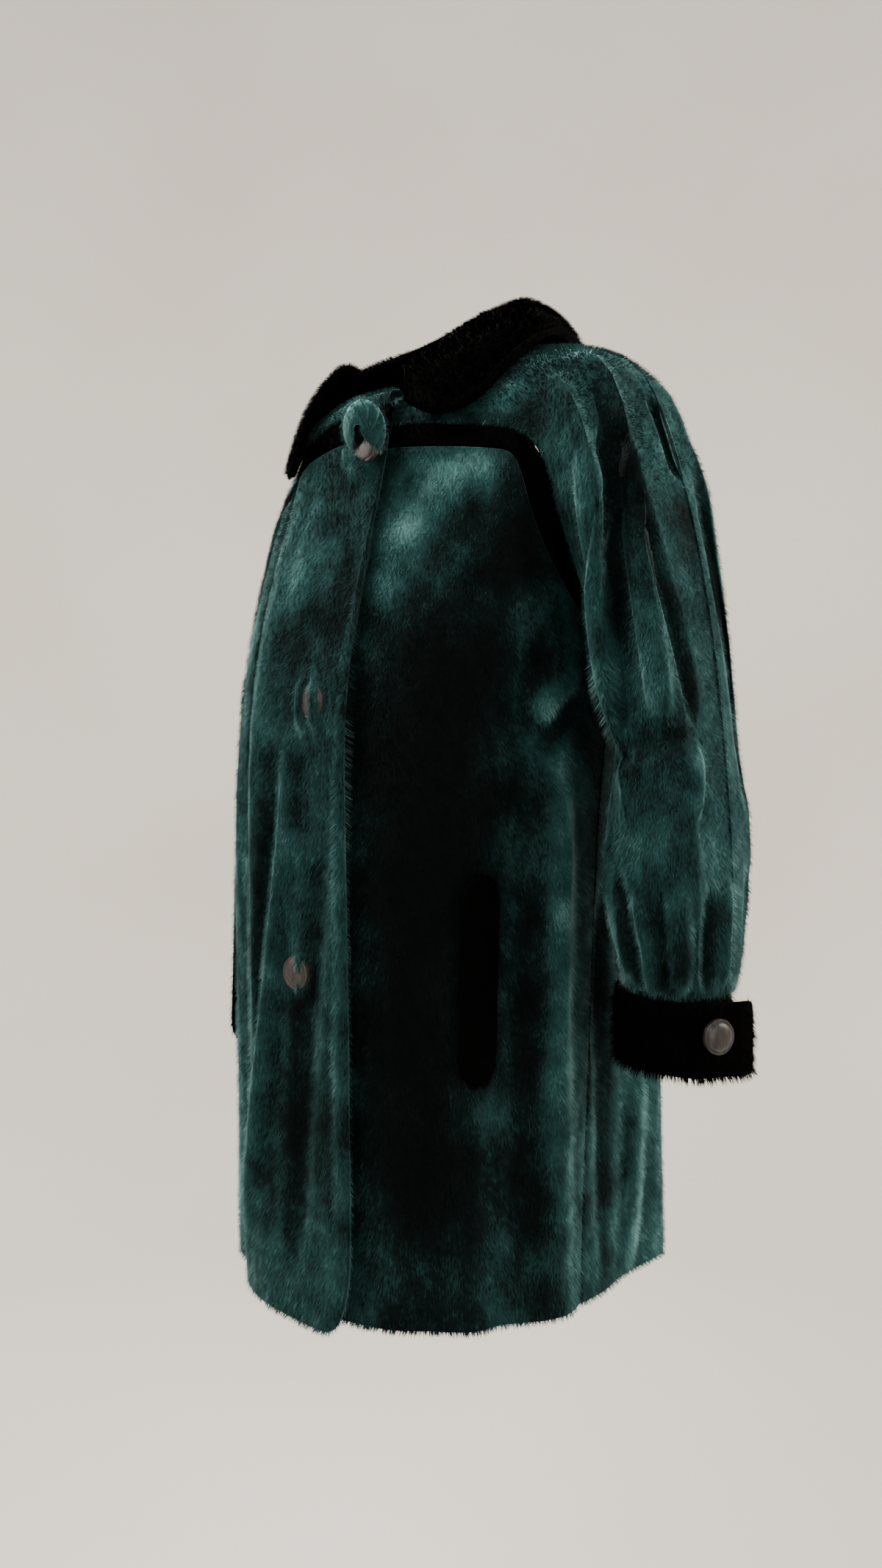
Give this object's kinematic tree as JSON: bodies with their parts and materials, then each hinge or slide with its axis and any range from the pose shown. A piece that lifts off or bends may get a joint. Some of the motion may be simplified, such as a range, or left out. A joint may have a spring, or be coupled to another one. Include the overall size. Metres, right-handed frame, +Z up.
{
  "type": "fur coat",
  "caption": "Three-quarter length sheared fur coat with a club collar, inset yoke strips, welt pockets, full sleeves and buttoned cuffs, shaped as worn.",
  "frame": {"origin": "on the middle line of the coat, in the neck opening at the height of the shoulder's neck point, where the wearer holds the coat up", "axes": "+Z up; -Y towards the wearer's front; +X towards the wearer's left"},
  "size_m": [0.5992, 0.4005, 0.8783],
  "materials": {
    "green_fur": "sheared fur pile, bottle green",
    "black_fur": "sheared fur pile, black",
    "dark_horn": "polished dark horn"
  },
  "bodies": {
    "root": {"back": "green_fur", "front_left": "green_fur", "front_right": "green_fur", "sleeve_front_left": "green_fur", "sleeve_front_right": "green_fur", "sleeve_back_left": "green_fur", "sleeve_back_right": "green_fur", "front_roll": "green_fur", "yoke_strip_left": "black_fur", "yoke_strip_right": "black_fur", "collar": "black_fur", "cuff_left": "black_fur", "cuff_right": "black_fur", "pocket_welt_left": "black_fur", "pocket_welt_right": "black_fur", "button_top": "dark_horn", "button_middle": "dark_horn", "button_hip": "dark_horn", "button_cuff_left": "dark_horn", "button_cuff_right": "dark_horn"}
  },
  "joints": []
}
